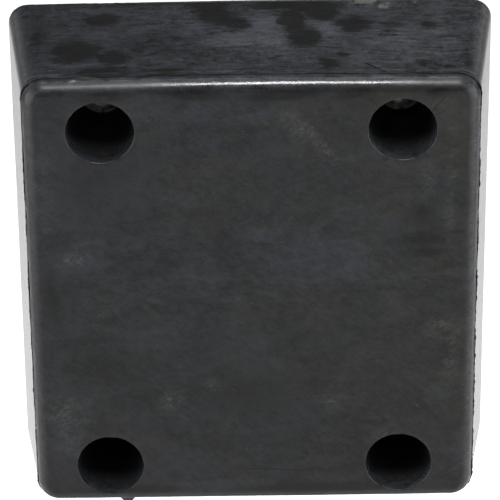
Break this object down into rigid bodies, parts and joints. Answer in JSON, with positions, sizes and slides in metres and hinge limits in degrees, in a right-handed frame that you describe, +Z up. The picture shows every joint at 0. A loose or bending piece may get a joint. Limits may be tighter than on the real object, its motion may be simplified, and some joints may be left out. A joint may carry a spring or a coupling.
{
  "type": "rubber wall bumper",
  "caption": "Square moulded rubber bumper block with leaning sides and deep corner pockets, bolted to a wall or dock face to take knocks from vehicles.",
  "frame": {"origin": "centre of the back face, in the plane of the wall", "axes": "+Y out of the back face into the wall, +Z up as mounted, +X to the right of someone facing the bumper, whose front faces -Y"},
  "size_m": [0.2498, 0.073, 0.2698],
  "materials": {
    "rubber": "moulded, satin with dusty bloom and darker oily patches",
    "washer_steel": "dull, dusty bare steel",
    "sleeve_steel": "plain cut tube"
  },
  "bodies": {
    "root": {"rubber_block": "rubber", "seat_washer_upper_left": "washer_steel", "bolt_sleeve_upper_left": "sleeve_steel", "seat_washer_upper_right": "washer_steel", "bolt_sleeve_upper_right": "sleeve_steel", "seat_washer_lower_left": "washer_steel", "bolt_sleeve_lower_left": "sleeve_steel", "seat_washer_lower_right": "washer_steel", "bolt_sleeve_lower_right": "sleeve_steel"}
  },
  "joints": []
}
